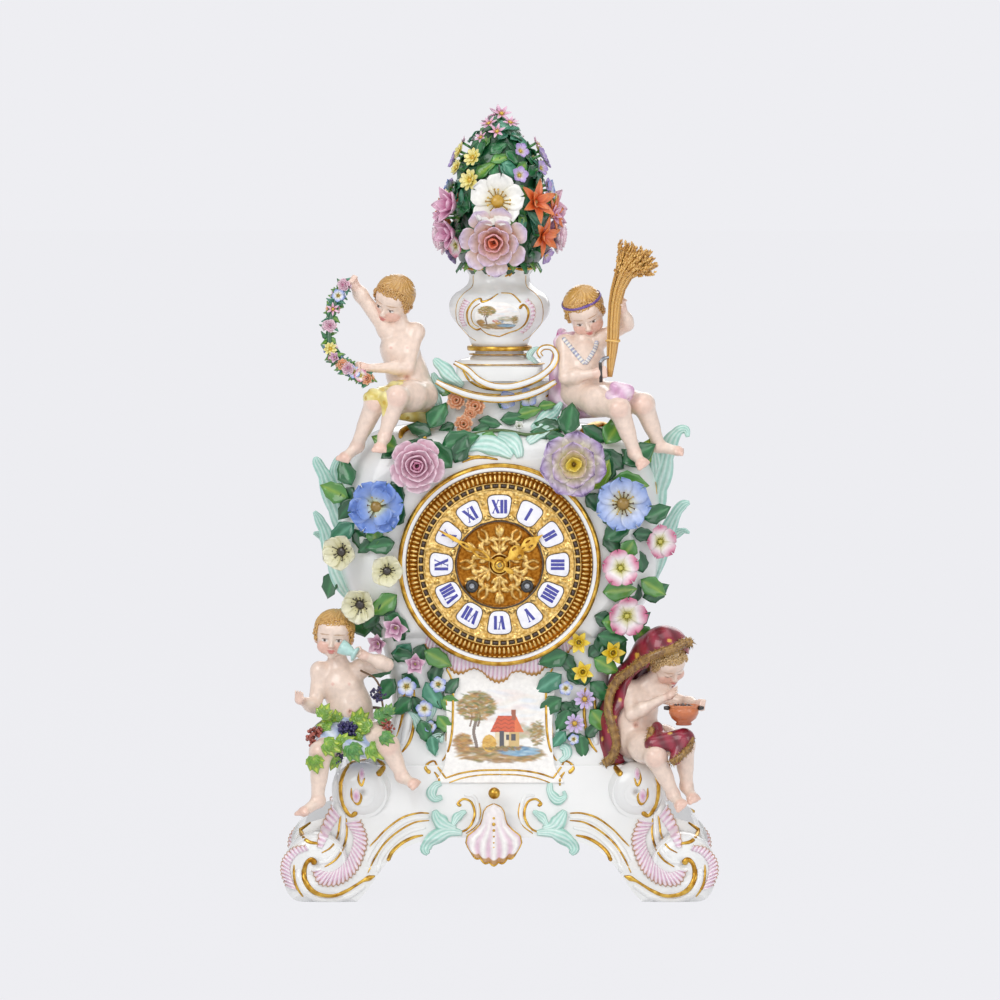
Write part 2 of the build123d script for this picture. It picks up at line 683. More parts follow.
def garland_flowers(shares):
    for x_share, z_share, size_share, petals, layers in shares:
        radius = size_share * flower_size
        aim = Vector(x_share / 2, -1, 0).normalized()
        depth = petal_depth * sqrt(size_share)
        seat = Vector(*case_place(x_share, z_share)) + aim * depth
        bloom(tuple(seat), aim, radius, petals, layers, depth, flower_stem)


def garland_leaves(side, shares):
    for x_share, z_share, turn, size_share in shares:
        place = case_place(side * x_share, z_share)
        turned = turn if side > 0 else 180 - turn
        leaf(place, turned, leaf_length * size_share, leaf_width * size_share, leaf_height, flower_stem / 2)


with BuildPart() as left_garland_flowers:
    garland_flowers(left_flower_shares)
    trim(case_solid, spring_figure, autumn_figure)
finish(left_garland_flowers, "left_garland_flowers")

with BuildPart() as right_garland_flowers:
    garland_flowers(right_flower_shares)
    trim(case_solid, summer_figure, winter_figure, winter_cloak)
finish(right_garland_flowers, "right_garland_flowers")

with BuildPart() as left_garland_leaves:
    garland_leaves(1, leaf_shares)
    trim(case_solid, left_garland_flowers, spring_figure, autumn_figure, vine_wreath)
finish(left_garland_leaves, "left_garland_leaves")

with BuildPart() as right_garland_leaves:
    garland_leaves(-1, leaf_shares[:-1])
    trim(case_solid, right_garland_flowers, summer_figure, winter_figure, winter_cloak)
finish(right_garland_leaves, "right_garland_leaves")

# Flowers round the neck. Places are shares of the neck's half width and height, from its foot
crest_flower_shares = ((-0.68, 0.46, 0.42, 8), (-0.42, 0.29, 0.46, 8), (-0.62, -0.11, 0.44, 7),
                       (0.12, 0.54, 0.46, 5), (0.46, 0.6, 0.46, 5), (0.34, -0.17, 0.34, 5))
crest_shell_shares = (0.1, 0.81)
crest_shell_width = 50.0
crest_shell_height = 26.0

with BuildPart() as crest_flowers:
    for x_share, z_share, size_share, petals in crest_flower_shares:
        seat = (x_share * neck_half_width, -neck_half_depth - petal_depth, drum_top + z_share * neck_height)
        bloom(seat, (0, -1, 0), size_share * flower_size, petals, 1, petal_depth, flower_stem)
    trim(crest_body, case_solid, spring_figure, spring_drape, summer_figure, summer_drape)
finish(crest_flowers, "crest_flowers")

with BuildPart() as crest_shell:
    place = facing(crest_shell_shares[0] * neck_half_width, dial_face - petal_depth / 2,
                   dial_height + crest_shell_shares[1] * drum_rise)
    with BuildSketch(place):
        Ellipse(crest_shell_width / 2, crest_shell_height / 2)
    extrude(amount=-drum_front / 2)
    trim(case_solid, crest_body, crest_flowers, left_garland_flowers, right_garland_flowers,
         left_garland_leaves, right_garland_leaves)
finish(crest_shell, "crest_shell")


# Bouquet: a leafy core plugged into the urn, and its flowers all round

bouquet_profile_shares = ((0.6, 0.0), (0.84, 0.1), (0.9, 0.33), (0.8, 0.6), (0.6, 0.8), (0.3, 0.94))
bouquet_plug_depth = 12.0
urn_mouth_radius = urn_profile_shares[-1][0] * urn_radius - urn_wall
bouquet_flower_shares = ((-2, 0.43, 0.8, 5), (-5, 0.17, 0.98, 6), (-47, 0.39, 0.52, 6), (-52, 0.22, 0.5, 6),
                         (36, 0.42, 0.5, 6), (44, 0.2, 0.5, 6), (66, 0.34, 0.48, 6), (24, 0.72, 0.36, 5),
                         (62, 0.7, 0.36, 5), (50, 0.6, 0.36, 5), (70, 0.52, 0.36, 5), (-56, 0.74, 0.34, 6),
                         (-24, 0.66, 0.34, 6), (-66, 0.6, 0.34, 6), (-30, 0.56, 0.34, 6), (0, 0.86, 0.32, 5),
                         (90, 0.12, 0.6, 6), (-90, 0.1, 0.6, 6), (-90, 0.42, 0.5, 5), (92, 0.78, 0.36, 5))

with BuildPart() as bouquet_core:
    outer = [(r * bouquet_radius, urn_top + h * bouquet_height) for r, h in bouquet_profile_shares]
    plug_radius = urn_mouth_radius - seat_gap
    with BuildSketch(Plane.XZ):
        with BuildLine():
            Spline(*outer, (0, urn_top + bouquet_height))
            Polyline((0, urn_top + bouquet_height), (0, urn_top - bouquet_plug_depth),
                     (plug_radius, urn_top - bouquet_plug_depth), (plug_radius, urn_top), outer[0])
        make_face()
    revolve(axis=Axis.Z)
    trim(urn_vase)
finish(bouquet_core, "bouquet_core")


def bouquet_reach(share):
    pairs = list(zip(bouquet_profile_shares, bouquet_profile_shares[1:]))
    for (ra, ha), (rb, hb) in pairs:
        if share <= hb:
            return bouquet_radius * (ra + (rb - ra) * (share - ha) / (hb - ha))
    return bouquet_radius * bouquet_profile_shares[-1][0]


with BuildPart() as bouquet_flowers:
    for half in (0, 180):
        for turn, height_share, size_share, petals in bouquet_flower_shares:
            angle = radians(turn + half - 90)
            reach = bouquet_reach(height_share)
            aim = (cos(angle), sin(angle), height_share / 2)
            seat = (reach * cos(angle), reach * sin(angle), urn_top + height_share * bouquet_height)
            bloom(seat, aim, size_share * flower_size, petals, 1, petal_depth, flower_stem / 2)
    trim(bouquet_core, urn_vase)
finish(bouquet_flowers, "bouquet_flowers")


# Moulded leaves and shells on the case and base. Places are shares of the half width

drum_leaf_shares = (
    ((-0.92, -0.18, 0.13, 0.06), (-1.03, -0.19, 0.39, 0.05), (-1.08, -0.2, 0.55, 0.04), (-1.115, -0.2, 0.63, 0.03),
     (-1.04, -0.2, 0.66, 0.022)),
    ((-0.89, -0.2, -0.27, 0.05), (-1.0, -0.21, -0.06, 0.045), (-1.06, -0.22, 0.12, 0.035), (-1.115, -0.22, 0.28, 0.024)),
    ((0.94, -0.18, 0.2, 0.06), (1.02, -0.19, 0.46, 0.055), (1.05, -0.2, 0.67, 0.045), (1.09, -0.2, 0.78, 0.035),
     (1.0, -0.2, 0.82, 0.022)),
    ((0.97, -0.2, 0.05, 0.045), (1.06, -0.21, 0.2, 0.035), (1.14, -0.22, 0.33, 0.02)),
)
base_leaf_shares = ((0.33, -0.46, 0.4, 0.03), (0.34, -0.48, 0.3, 0.035), (0.26, -0.475, 0.26, 0.032),
                    (0.18, -0.46, 0.31, 0.022))

with BuildPart() as acanthus_sprays:
    for shares in drum_leaf_shares:
        limb((0, 0, dial_height), drum_half_width, shares)
    for side in (-1, 1):
        limb((0, 0, 0), base_half_width, [(side * x, y, z, r) for x, y, z, r in base_leaf_shares])
    trim(case_solid, base_solid, left_garland_flowers, right_garland_flowers, left_garland_leaves,
         right_garland_leaves, spring_figure, summer_figure, autumn_figure, winter_figure, winter_cloak)
finish(acanthus_sprays, "acanthus_sprays")

shell_neck_radius = 6.5
shell_reach = 44.0
shell_lobe_radius = 6.2
shell_lobe_turns = (-28, -14, 0, 14, 28)
shell_shift = -5.0
shell_neck_share = 0.72
shell_front_share = 0.86
shell_ball_radius = 5.0

with BuildPart() as front_shell:
    shell_neck = shell_neck_share * base_height
    place = facing(shell_shift, -shell_front_share * base_half_depth, shell_neck)
    lobes = [(shell_reach * sin(radians(turn)), -shell_reach * cos(radians(turn))) for turn in shell_lobe_turns]
    with BuildSketch(place):
        with BuildLine():
            Polyline((-shell_neck_radius, 0), *lobes, (shell_neck_radius, 0), close=True)
        make_face()
        with Locations(*lobes):
            Circle(shell_lobe_radius)
        Circle(shell_neck_radius)
    extrude(amount=-base_half_depth / 4)
    ball = (shell_shift, -shell_front_share * base_half_depth + 2 * shell_ball_radius,
            shell_neck + shell_neck_radius + shell_ball_radius)
    with Locations(ball):
        Sphere(shell_ball_radius)
    disc(facing(*ball), shell_ball_radius / 2, -base_half_depth / 4)
    trim(base_solid, case_solid, acanthus_sprays)
finish(front_shell, "front_shell")

panel_half_width = 55.0
panel_foot_share = 0.87
panel_rise = 98.0
panel_slope = 12.0
panel_outline_shares = ((1.0, 0.0), (0.84, 0.2), (0.84, 0.72), (1.0, 1.0))

with BuildPart() as picture_panel:
    foot = panel_foot_share * base_height
    lean = Plane(origin=(0, -waist_half_depth - panel_slope, foot), x_dir=(1, 0, 0),
                 z_dir=(0, -panel_rise, panel_slope))
    right = [(x * panel_half_width, z * panel_rise) for x, z in panel_outline_shares]
    left = [(-x, z) for x, z in right]
    with BuildSketch(lean):
        with BuildLine():
            Spline(*right)
            Line(right[-1], left[-1])
            Spline(*reversed(left))
            Line(left[0], right[0])
        make_face()
    extrude(amount=-panel_slope)
    trim(case_solid, base_solid, left_garland_flowers, right_garland_flowers, left_garland_leaves,
         right_garland_leaves)
finish(picture_panel, "picture_panel")


# Dial: a brass plate with cast relief, a fluted ring and twelve enamel plaques

centre_hole = 3.7
minute_ring_inner = 64.5
minute_ring_outer = 68.5
minute_ring_height = 1.0
relief_radius = 36.0
cartouche_width_share = 0.86
dial_foot_radius = 2.5
dial_foot_turns = (30, 150, 270)
plate_pillar_radius = 3.5
plate_pillar_turns = (0, 62, 118, 180, 270)
pillar_ring = plate_radius - 2 * plate_pillar_radius
dial_front_y = dial_face - dial_plate_thickness
winding_places = ((winding_spread, -winding_drop), (-winding_spread, -winding_drop))

with BuildPart() as dial_plate:
    disc(facing(0, dial_face, dial_height), dial_radius, dial_plate_thickness)
    disc(facing(0, dial_front_y, dial_height), relief_radius, dial_relief)
    disc(facing(0, dial_front_y, dial_height), minute_ring_outer, minute_ring_height, bore=minute_ring_inner)
    for turn in dial_foot_turns:
        x, z = pillar_ring * cos(radians(turn)), pillar_ring * sin(radians(turn))
        disc(facing(x, plate_front_y - plate_thickness, dial_height + z), dial_foot_radius,
             plate_setback)
    disc(facing(0, plate_front_y, dial_height), centre_hole, plate_setback * 2, mode=Mode.SUBTRACT)
    for x, z in winding_places:
        disc(facing(x, plate_front_y, dial_height + z), winding_hole, plate_setback * 2, mode=Mode.SUBTRACT)
finish(dial_plate, "dial_plate")

with BuildPart() as dial_bezel:
    disc(facing(0, dial_front_y, dial_height), dial_radius, dial_lip_height - dial_plate_thickness,
         bore=dial_ring_inner)
    inner_edge = edges().filter_by(GeomType.CIRCLE).group_by(Axis.Y)[0].sort_by(SortBy.RADIUS)[0]
    chamfer(inner_edge, dial_lip_height / 2, dial_radius - dial_ring_inner - overrun)
finish(dial_bezel, "dial_bezel")

with BuildPart() as enamel_cartouches:
    with BuildSketch(facing(0, dial_front_y, dial_height)):
        with PolarLocations(cartouche_ring, 12):
            RectangleRounded(cartouche_size, cartouche_size * cartouche_width_share, cartouche_size / 4)
    extrude(amount=cartouche_height)
finish(enamel_cartouches, "enamel_cartouches")


# Gears, all with the same plain backlashed tooth. Phases are angles seen from the front

tooth_root_share = 1.1
wheel_tip_share = 0.8
pinion_tip_share = 0.7
tooth_foot_share = 0.2
tooth_crown_share = 0.075
crossing_count = 5
crossing_ring_share = 0.58
crossing_size_share = 0.24


def gear(x, z, y, thickness, teeth, module, tip_share, phase, bore=0.0, crossed=False):
    # Its back face lies at y and it is that thick towards the front
    pitch_radius = teeth * module / 2
    step = 360 / teeth
    points = []
    for k in range(teeth):
        for rise, half_width in ((-tooth_root_share, -tooth_foot_share), (tip_share, -tooth_crown_share),
                                 (tip_share, tooth_crown_share), (-tooth_root_share, tooth_foot_share)):
            turn = radians(phase + (k + half_width) * step)
            reach = pitch_radius + rise * module
            points.append((reach * cos(turn), reach * sin(turn)))
    with BuildSketch(facing(x, y, dial_height + z)) as face:
        with BuildLine():
            Polyline(*points, close=True)
        make_face()
        if bore > 0:
            Circle(bore, mode=Mode.SUBTRACT)
        if crossed:
            with PolarLocations(pitch_radius * crossing_ring_share, crossing_count):
                Circle(pitch_radius * crossing_size_share, mode=Mode.SUBTRACT)
    extrude(face.sketch, amount=thickness)


def line_turn(start, end):
    return degrees(atan2(end[1] - start[1], end[0] - start[0]))


def meshed(start, end, teeth):
    # Phase that puts a gap of the gear at end on the line from the gear at start
    return line_turn(start, end) + 180 + 180 / teeth


def across(first, second, first_reach, second_reach, side):
    # The place at two distances from two others, on one side of the line between them
    dx, dz = second[0] - first[0], second[1] - first[1]
    span = hypot(dx, dz)
    along = (first_reach ** 2 - second_reach ** 2 + span ** 2) / (2 * span)
    aside = side * sqrt(max(first_reach ** 2 - along ** 2, 0))
    return (first[0] + (along * dx - aside * dz) / span, first[1] + (along * dz + aside * dx) / span)


barrel_teeth, barrel_module, barrel_pinion = 84, 0.53, 12
second_teeth, second_module, centre_pinion = 72, 0.45, 12
centre_teeth, centre_module, third_pinion = 70, 0.45, 10
third_teeth, third_module, escape_pinion = 66, 0.42, 8
escape_teeth, escape_module = 30, 0.6
strike_second_teeth = 44
cannon_teeth, minute_teeth, motion_module = 12, 36, 0.6
minute_pinion, hour_teeth = 10, 40
hour_module = motion_module * (cannon_teeth + minute_teeth) / (minute_pinion + hour_teeth)
wheel_thickness = 1.4
escape_drop = 30.5
anchor_drop = 44.0
strike_lean = 102.5

centre = (0.0, 0.0)
going_place = winding_places[0]
strike_place = winding_places[1]
barrel_reach = (barrel_teeth + barrel_pinion) * barrel_module / 2
second_reach = (second_teeth + centre_pinion) * second_module / 2
third_reach = (centre_teeth + third_pinion) * centre_module / 2
escape_reach = (third_teeth + escape_pinion) * third_module / 2
motion_reach = (cannon_teeth + minute_teeth) * motion_module / 2
second_place = across(centre, going_place, second_reach, barrel_reach, 1)
escape_place = (0.0, escape_drop)
third_place = across(centre, escape_place, third_reach, escape_reach, 1)
anchor_place = (0.0, anchor_drop)
minute_place = (0.0, -motion_reach)
strike_second_place = (strike_place[0] + barrel_reach * cos(radians(strike_lean)),
                       strike_place[1] + barrel_reach * sin(radians(strike_lean)))
hammer_place_shares = (-0.76, 0.36)
hammer_place = (hammer_place_shares[0] * plate_radius, hammer_place_shares[1] * plate_radius)

# Layers, as distances in front of the back plate
barrel_gear_layer = 14.0
barrel_gear_thickness = 2.5
barrel_height = 20.0
second_layer = 9.5
centre_layer = 5.5
third_layer = 2.0
escape_layer = 26.0


def layer_y(layer):
    return plate_back_y - layer


def arbor(place, tail=0.0, nose=0.0):
    # Thin pivots run through both plates, and further by tail and nose
    x, z = place
    disc(facing(x, movement_back_y + tail, dial_height + z), pivot_radius,
         plate_gap + 2 * plate_thickness + tail + nose)
    disc(facing(x, plate_back_y - end_shake, dial_height + z), arbor_radius, plate_gap - 2 * end_shake)


with BuildPart() as escape_wheel:
    arbor(escape_place)
    gear(*escape_place, layer_y(third_layer), wheel_thickness * 2, escape_pinion, third_module, pinion_tip_share,
         meshed(third_place, escape_place, escape_pinion))
    gear(*escape_place, layer_y(escape_layer), wheel_thickness, escape_teeth, escape_module, wheel_tip_share, 0)
finish(escape_wheel, "escape_wheel")

with BuildPart() as third_wheel:
    arbor(third_place)
    gear(*third_place, layer_y(third_layer + wheel_thickness / 2), wheel_thickness, third_teeth, third_module,
         wheel_tip_share, line_turn(third_place, escape_place), crossed=True)
    gear(*third_place, layer_y(centre_layer - wheel_thickness / 2), wheel_thickness * 2, third_pinion,
         centre_module, pinion_tip_share, meshed(centre, third_place, third_pinion))
finish(third_wheel, "third_wheel")

centre_arbor_radius = 1.2
cannon_pipe_radius = 2.1
hour_pipe_radius = 3.2
minute_hand_rise = 8.0
hour_hand_rise = 4.8
minute_hand_y = dial_front_y - minute_hand_rise
hour_hand_y = dial_front_y - hour_hand_rise
hand_thickness = 1.5
cannon_gap = 1.0
cannon_y = plate_front_y - plate_thickness - cannon_gap
cannon_thickness = 3.0

with BuildPart() as centre_wheel:
    arbor(centre)
    disc(facing(0, plate_front_y, dial_height), centre_arbor_radius,
         plate_front_y - minute_hand_y + 2 * hand_thickness)
    gear(*centre, layer_y(centre_layer), wheel_thickness, centre_teeth, centre_module, wheel_tip_share,
         line_turn(centre, third_place), crossed=True)
    gear(*centre, layer_y(second_layer - wheel_thickness / 2), wheel_thickness * 2, centre_pinion, second_module,
         pinion_tip_share, meshed(second_place, centre, centre_pinion))
finish(centre_wheel, "centre_wheel")

with BuildPart() as second_wheel:
    arbor(second_place)
    gear(*second_place, layer_y(second_layer), wheel_thickness, second_teeth, second_module, wheel_tip_share,
         line_turn(second_place, centre), crossed=True)
    gear(*second_place, layer_y(barrel_gear_layer), barrel_gear_thickness, barrel_pinion, barrel_module,
         pinion_tip_share, meshed(going_place, second_place, barrel_pinion))
finish(second_wheel, "second_wheel")

winding_arbor_radius = 3.0
winding_square = 4.2
barrel_step = 1.0
barrel_radius = barrel_teeth * barrel_module / 2 - barrel_step
barrel_shell = 1.2
hub_radius = 6.0
ratchet_teeth = 24
ratchet_module = 0.6
ratchet_thickness = 2.0


def barrel(place, phase):
    # A toothed drum with its caps, open only for the winding arbor, and the coiled spring inside as a ring
    x, z = place
    bore = winding_arbor_radius + running_clearance
    gear(x, z, layer_y(barrel_gear_layer), barrel_gear_thickness, barrel_teeth, barrel_module, wheel_tip_share,
         phase, bore=bore)
    hollow = facing(x, layer_y(barrel_gear_layer + barrel_gear_thickness), dial_height + z)
    disc(hollow, barrel_radius, barrel_height, bore=bore)
    disc(hollow, barrel_radius - barrel_shell, barrel_height - barrel_shell, mode=Mode.SUBTRACT)
    disc(hollow.offset(end_shake), barrel_radius - barrel_shell - running_clearance,
         barrel_height - barrel_shell - 2 * end_shake, bore=barrel_radius / 2)


def winding_arbor(place):
    # It turns inside its barrel; a ratchet wheel lies on the front plate and the square shows in the dial
    x, z = place
    disc(facing(x, plate_back_y - end_shake, dial_height + z), winding_arbor_radius, plate_gap - 2 * end_shake)
    disc(facing(x, layer_y(barrel_gear_layer + barrel_gear_thickness + end_shake), dial_height + z), hub_radius,
         barrel_height - barrel_shell - 2 * end_shake)
    disc(facing(x, movement_back_y, dial_height + z), winding_arbor_radius - barrel_shell,
         movement_back_y - plate_front_y + plate_thickness + end_shake)
    gear(x, z, plate_front_y - plate_thickness - end_shake, ratchet_thickness, ratchet_teeth, ratchet_module,
         pinion_tip_share, 0)
    with BuildSketch(facing(x, plate_front_y - plate_thickness - end_shake, dial_height + z)) as square:
        Rectangle(winding_square, winding_square)
    extrude(square.sketch, amount=plate_setback + end_shake + winding_square / 4)


with BuildPart() as going_barrel:
    barrel(going_place, line_turn(going_place, second_place))
finish(going_barrel, "going_barrel")

with BuildPart() as strike_barrel:
    barrel(strike_place, line_turn(strike_place, strike_second_place))
finish(strike_barrel, "strike_barrel")

with BuildPart() as going_winding_arbor:
    winding_arbor(going_place)
finish(going_winding_arbor, "going_winding_arbor")

with BuildPart() as strike_winding_arbor:
    winding_arbor(strike_place)
finish(strike_winding_arbor, "strike_winding_arbor")

count_wheel_radius = 11.0
count_notches = 12
count_notch_radius = 0.9

with BuildPart() as count_wheel:
    arbor(strike_second_place, tail=2 * wheel_thickness + end_shake)
    gear(*strike_second_place, layer_y(second_layer), wheel_thickness, strike_second_teeth, second_module,
         wheel_tip_share, 0, crossed=True)
    gear(*strike_second_place, layer_y(barrel_gear_layer), barrel_gear_thickness, barrel_pinion, barrel_module,
         pinion_tip_share, meshed(strike_place, strike_second_place, barrel_pinion))
    with BuildSketch(facing(strike_second_place[0], movement_back_y + 2 * wheel_thickness + end_shake,
                            dial_height + strike_second_place[1])):
        Circle(count_wheel_radius)
        with PolarLocations(count_wheel_radius, count_notches):
            Circle(count_notch_radius, mode=Mode.SUBTRACT)
    extrude(amount=wheel_thickness)
finish(count_wheel, "count_wheel")


# Plates and pillars

with BuildPart() as front_plate:
    disc(facing(0, plate_front_y, dial_height), plate_radius, plate_thickness)
    disc(facing(minute_place[0], plate_front_y - plate_thickness, dial_height + minute_place[1]),
         arbor_radius, plate_setback - overrun)
    for x, z in (centre, second_place, third_place, escape_place, anchor_place, strike_second_place,
                 hammer_place):
        radius = centre_arbor_radius if (x, z) == centre else pivot_radius
        disc(facing(x, plate_front_y + overrun, dial_height + z), radius + running_clearance,
             plate_thickness + 2 * overrun, mode=Mode.SUBTRACT)
    for x, z in winding_places:
        disc(facing(x, plate_front_y + overrun, dial_height + z),
             winding_arbor_radius - barrel_shell + running_clearance, plate_thickness + 2 * overrun,
             mode=Mode.SUBTRACT)
finish(front_plate, "front_plate")

with BuildPart() as back_plate:
    disc(facing(0, movement_back_y, dial_height), plate_radius, plate_thickness)
    for x, z in (centre, second_place, third_place, escape_place, anchor_place, strike_second_place,
                 hammer_place):
        disc(facing(x, movement_back_y + overrun, dial_height + z), pivot_radius + running_clearance,
             plate_thickness + 2 * overrun, mode=Mode.SUBTRACT)
    for x, z in winding_places:
        disc(facing(x, movement_back_y + overrun, dial_height + z),
             winding_arbor_radius - barrel_shell + running_clearance, plate_thickness + 2 * overrun,
             mode=Mode.SUBTRACT)
finish(back_plate, "back_plate")

with BuildPart() as plate_pillars:
    for turn in plate_pillar_turns:
        x, z = pillar_ring * cos(radians(turn)), pillar_ring * sin(radians(turn))
        disc(facing(x, plate_back_y, dial_height + z), plate_pillar_radius, plate_gap)
finish(plate_pillars, "plate_pillars")


# Motion work and hands

hour_hand_turn = 35.0
minute_hand_turn = 150.0
minute_hand_length = 60.0
hour_hand_length = 44.0
hand_hub = 5.5
minute_outline_shares = ((-0.14, 0.0), (-0.1, 0.04), (0.0, 0.05), (0.62, 0.02), (0.7, 0.05), (0.78, 0.055),
                         (0.88, 0.02), (1.0, 0.0))
hour_outline_shares = ((0.0, 0.06), (0.28, 0.05), (0.42, 0.12), (0.55, 0.17), (0.68, 0.1), (0.8, 0.09),
                       (1.0, 0.0))
pierced_share = 0.53
pierced_size_share = 0.08


def hand(y, turn, length, outline_shares, bore):
    place = Plane(origin=(0, y, dial_height), x_dir=(cos(radians(turn)), 0, sin(radians(turn))), z_dir=(0, -1, 0))
    upper = [(a * length, w * length) for a, w in outline_shares]
    lower = [(a, -w) for a, w in reversed(upper) if w > 0]
    with BuildSketch(place) as face:
        with BuildLine():
            Polyline(*upper, *lower, close=True)
        make_face()
        Circle(hand_hub)
        Circle(bore, mode=Mode.SUBTRACT)
    extrude(face.sketch, amount=hand_thickness)
    return place


with BuildPart() as cannon_pinion:
    gear(*centre, cannon_y, cannon_thickness, cannon_teeth, motion_module, pinion_tip_share, 90,
         bore=centre_arbor_radius + running_clearance)
    disc(facing(0, cannon_y, dial_height), cannon_pipe_radius, cannon_y - minute_hand_y + hand_thickness,
         bore=centre_arbor_radius + running_clearance)
finish(cannon_pinion, "cannon_pinion")

with BuildPart() as minute_wheel:
    x, z = minute_place
    gear(x, z, cannon_y - wheel_thickness / 2, wheel_thickness, minute_teeth, motion_module, wheel_tip_share,
         meshed(centre, minute_place, minute_teeth), bore=arbor_radius + running_clearance, crossed=True)
    gear(x, z, cannon_y - wheel_thickness / 2, cannon_thickness + wheel_thickness, minute_pinion, hour_module,
         pinion_tip_share, meshed(centre, minute_place, minute_pinion),
         bore=arbor_radius + running_clearance)
finish(minute_wheel, "minute_wheel")

with BuildPart() as hour_wheel:
    gear(*centre, cannon_y - cannon_thickness - end_shake, wheel_thickness, hour_teeth, hour_module,
         wheel_tip_share, line_turn(centre, minute_place), bore=cannon_pipe_radius + running_clearance, crossed=True)
    disc(facing(0, cannon_y - cannon_thickness - end_shake, dial_height), hour_pipe_radius,
         cannon_y - cannon_thickness - end_shake - hour_hand_y + hand_thickness,
         bore=cannon_pipe_radius + running_clearance)
finish(hour_wheel, "hour_wheel")

with BuildPart() as hour_hand:
    place = hand(hour_hand_y, hour_hand_turn, hour_hand_length, hour_outline_shares,
                 hour_pipe_radius + running_clearance)
    with BuildSketch(place):
        with Locations((hour_hand_length * pierced_share, 0)):
            Circle(hour_hand_length * pierced_size_share)
    extrude(amount=hand_thickness, mode=Mode.SUBTRACT)
finish(hour_hand, "hour_hand")

collet_radius = 4.6
collet_height = 3.0

with BuildPart() as minute_hand:
    # The hand sits on the pipe, its riveted collet on the thinner arbor in front
    hand(minute_hand_y, minute_hand_turn, minute_hand_length, minute_outline_shares,
         cannon_pipe_radius + running_clearance)
    disc(facing(0, minute_hand_y - hand_thickness, dial_height), collet_radius, collet_height,
         bore=centre_arbor_radius + running_clearance)
    collet_edge = edges().filter_by(GeomType.CIRCLE).group_by(Axis.Y)[0].sort_by(SortBy.RADIUS)[-1]
    fillet(collet_edge, radius=collet_height / 3)
finish(minute_hand, "minute_hand")


# Escapement, pendulum and strike

anchor_reach = 13.5
anchor_outline_shares = ((-1.0, -1.11), (-0.844, -1.11), (-0.844, -0.48), (0.0, -0.11), (0.844, -0.48),
                         (0.844, -1.11), (1.0, -1.11), (1.0, -0.37), (0.0, 0.22), (-1.0, -0.37))
pendulum_setback = 18.0
pendulum_y = movement_back_y + pendulum_setback
rod_radius = 1.2
crutch_length = 32.0
crutch_gap = 0.3
fork_reach = rod_radius + crutch_gap + 2 * pivot_radius
crutch_setback = 4.0
crutch_y = movement_back_y + crutch_setback

with BuildPart() as anchor_and_crutch:
    arbor(anchor_place, tail=crutch_y - movement_back_y)
    with BuildSketch(facing(anchor_place[0], layer_y(escape_layer), dial_height + anchor_place[1])):
        with BuildLine():
            Polyline(*[(x * anchor_reach, z * anchor_reach) for x, z in anchor_outline_shares], close=True)
        make_face()
    extrude(amount=wheel_thickness)
    with BuildSketch(facing(0, crutch_y, dial_height + anchor_drop)) as crutch:
        Circle(2 * arbor_radius)
        with Locations((0, -crutch_length / 2)):
            Rectangle(2 * pivot_radius, crutch_length)
        with Locations((0, -crutch_length)):
            Rectangle(2 * fork_reach, 2 * pivot_radius)
    extrude(crutch.sketch, amount=2 * pivot_radius)
    with BuildSketch(facing(0, crutch_y, dial_height + anchor_drop - crutch_length)) as fork:
        with Locations((-fork_reach + pivot_radius, 0), (fork_reach - pivot_radius, 0)):
            Rectangle(2 * pivot_radius, 2 * pivot_radius)
    extrude(fork.sketch, amount=crutch_y - pendulum_y - 2 * rod_radius)
finish(anchor_and_crutch, "anchor_and_crutch")

bob_thickness = 8.0

with BuildPart() as pendulum_rod:
    top = dial_height + anchor_drop
    with BuildSketch(Plane.XY.offset(top - pendulum_length)):
        with Locations((0, pendulum_y)):
            Circle(rod_radius)
    extrude(amount=pendulum_length)
    disc(facing(0, pendulum_y + rod_radius / 2, top), rod_radius * 2, rod_radius)
finish(pendulum_rod, "pendulum_rod")

with BuildPart() as pendulum_bob:
    disc(facing(0, pendulum_y + bob_thickness / 2, top - pendulum_length), bob_radius, bob_thickness)
    fillet(edges().filter_by(GeomType.CIRCLE), radius=bob_thickness / 3)
    with BuildSketch(Plane.XY.offset(top - pendulum_length)):
        with Locations((0, pendulum_y)):
            Circle(rod_radius)
    extrude(amount=pendulum_length, mode=Mode.SUBTRACT)
finish(pendulum_bob, "pendulum_bob")

cock_width = 10.0
cock_height = 5.0

with BuildPart() as suspension_cock:
    rise = top + 2 * rod_radius + crutch_gap
    with BuildSketch(Plane.XZ.offset(-movement_back_y)):
        with Locations((0, rise + cock_height / 2)):
            Rectangle(cock_width, cock_height)
    extrude(amount=-(pendulum_y - movement_back_y + 2 * rod_radius))
    with BuildSketch(Plane.XZ.offset(-movement_back_y)):
        for side in (-1, 1):
            with Locations((side * (cock_width / 2 + overrun), rise + cock_height / 2)):
                Rectangle(2 * overrun, 2 * cock_height)
    extrude(amount=-overrun)
finish(suspension_cock, "suspension_cock")

bell_setback = 11.0
bell_rim_y = pendulum_y + bell_setback
bell_depth = 20.0
bell_wall = 1.6
bell_profile_shares = ((1.0, 0.0), (0.97, 0.2), (0.9, 0.55), (0.72, 0.85), (0.45, 0.98), (0.0, 1.0))
bell_hole = 2.6
stand_radius = 3.0
stand_place_shares = (0.4, -0.78)
stand_place = (stand_place_shares[0] * plate_radius, stand_place_shares[1] * plate_radius)
stand_thickness = 3.0

